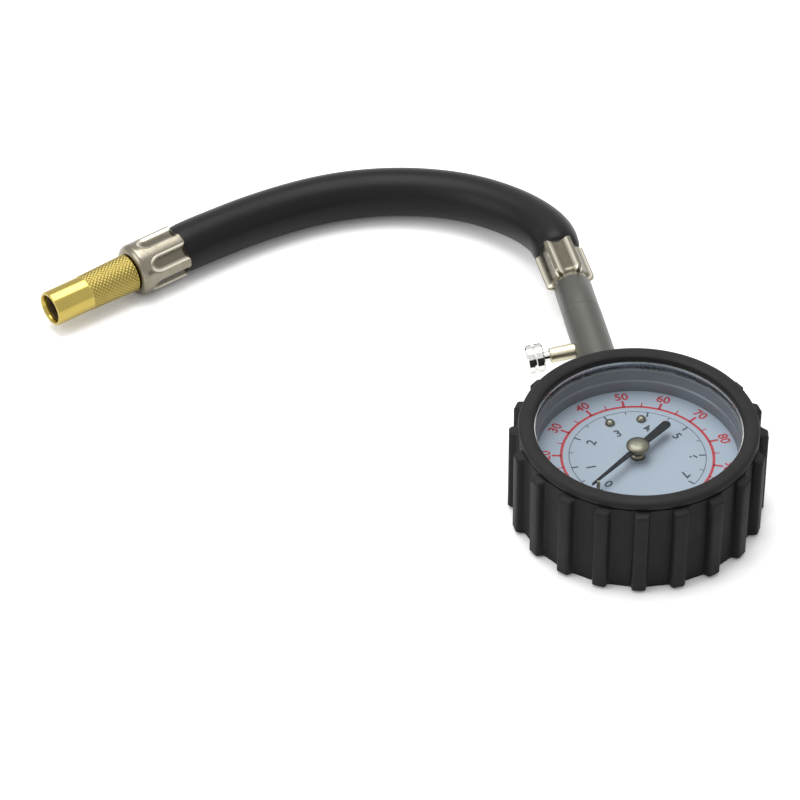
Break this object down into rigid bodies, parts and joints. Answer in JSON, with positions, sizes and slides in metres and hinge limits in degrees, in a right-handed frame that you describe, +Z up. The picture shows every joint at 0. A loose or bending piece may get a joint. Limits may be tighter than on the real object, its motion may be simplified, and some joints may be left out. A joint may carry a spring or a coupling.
{
  "type": "tire inflator gauge",
  "caption": "Dial pressure gauge in a ribbed rubber boot, with a stem and side bleed valve, and a curved rubber hose that ends in a knurled screw-on valve chuck.",
  "frame": {"origin": "on the dial's axis, at the middle of the boot's flat base", "axes": "+Z up out of the dial, +Y from the dial along the stem, +X to the dial's right"},
  "size_m": [0.1966, 0.1948, 0.0313],
  "materials": {
    "boot_rubber": "matt moulded rubber",
    "hose_rubber": "smooth satin rubber",
    "seal_rubber": "moulded rubber",
    "case_steel": "drawn steel",
    "bezel_chrome": "polished",
    "lens_clear": "clear moulded lens",
    "dial_paint": "printed satin enamel",
    "pointer_paint": "satin black enamel",
    "hub_nickel": "nickel plate",
    "screw_steel": "plated steel",
    "movement_brass": "machined",
    "spring_steel": "spring wire",
    "stem_gunmetal": "satin gunmetal plate",
    "ferrule_nickel": "crimped, nickel plate",
    "chuck_brass": "machined and polished",
    "valve_chrome": "polished"
  },
  "bodies": {
    "gauge_body": {"arbor_bush": "movement_brass", "bezel_ring": "bezel_chrome", "bourdon_tube": "movement_brass", "case_screws": "screw_steel", "chuck_nipple": "chuck_brass", "chuck_seal": "seal_rubber", "core_depressor": "chuck_brass", "dial_plate": "dial_paint", "dial_posts": "movement_brass", "dial_ring": "case_steel", "dial_screws": "hub_nickel", "far_ferrule": "ferrule_nickel", "gauge_case": "case_steel", "hairspring": "movement_brass", "hose": "hose_rubber", "hose_fitting": "stem_gunmetal", "lens": "lens_clear", "lens_gasket": "seal_rubber", "movement_bottom_plate": "movement_brass", "movement_pillars": "movement_brass", "movement_screws": "screw_steel", "movement_top_plate": "movement_brass", "near_ferrule": "ferrule_nickel", "rubber_boot": "boot_rubber", "socket_block": "movement_brass", "socket_seal": "seal_rubber", "stem_body": "stem_gunmetal", "stem_seal": "seal_rubber", "stop_pin": "hub_nickel", "valve_sleeve": "chuck_brass", "valve_spring": "spring_steel"},
    "pointer": {"pointer": "pointer_paint", "pointer_hub": "hub_nickel", "pinion_arbor": "screw_steel", "spring_collet": "movement_brass"},
    "sector": {"sector_gear": "movement_brass", "sector_arbor": "screw_steel", "tail_pin": "screw_steel"},
    "tube_tip": {"tube_tip": "movement_brass", "tip_pin": "screw_steel"},
    "link": {"link": "movement_brass"},
    "bleed_button": {"bleed_button": "valve_chrome", "valve_seal": "seal_rubber"},
    "chuck": {"chuck_sleeve": "chuck_brass"}
  },
  "joints": [
    {"name": "pointer_turn", "type": "hinge", "parent": "gauge_body", "child": "pointer", "pos_m": [0, 0, 0.0232], "axis": [0, 0, -1], "range_deg": [0, 270], "stiffness_Nm_per_rad": 0.0003, "springref_deg": -5.73, "deforming": ["hairspring"]},
    {"name": "sector_turn", "type": "hinge", "parent": "gauge_body", "child": "sector", "pos_m": [0.01188, 0, 0.0101], "axis": [0, 0, 1], "range_deg": [0, 33.75]},
    {"name": "tube_flex", "type": "hinge", "parent": "gauge_body", "child": "tube_tip", "pos_m": [-0.006, 0.0212, 0.012], "axis": [0, 0, 1], "range_deg": [0, 6.95], "deforming": ["bourdon_tube"]},
    {"name": "link_swing", "type": "hinge", "parent": "tube_tip", "child": "link", "pos_m": [0.0172, 0.008, 0.0114], "axis": [0, 0, -1], "range_deg": [0, 15.1]},
    {"name": "bleed_press", "type": "slide", "parent": "gauge_body", "child": "bleed_button", "axis": [0.9945, 0, 0.1045], "range_m": [0, 0.0018], "stiffness_N_per_m": 300, "springref_m": -0.005, "deforming": ["valve_spring"]},
    {"name": "chuck_spin", "type": "hinge", "parent": "gauge_body", "child": "chuck", "pos_m": [-0.1426, 0.11803, 0.0084], "axis": [-0.8883, -0.4593, 0], "continuous": true}
  ],
  "couplings": [
    {"joint": "sector_turn", "follows": "pointer_turn", "ratio": 0.125},
    {"joint": "tube_flex", "follows": "pointer_turn", "ratio": 0.02572},
    {"joint": "link_swing", "follows": "pointer_turn", "ratio": 0.05576}
  ]
}
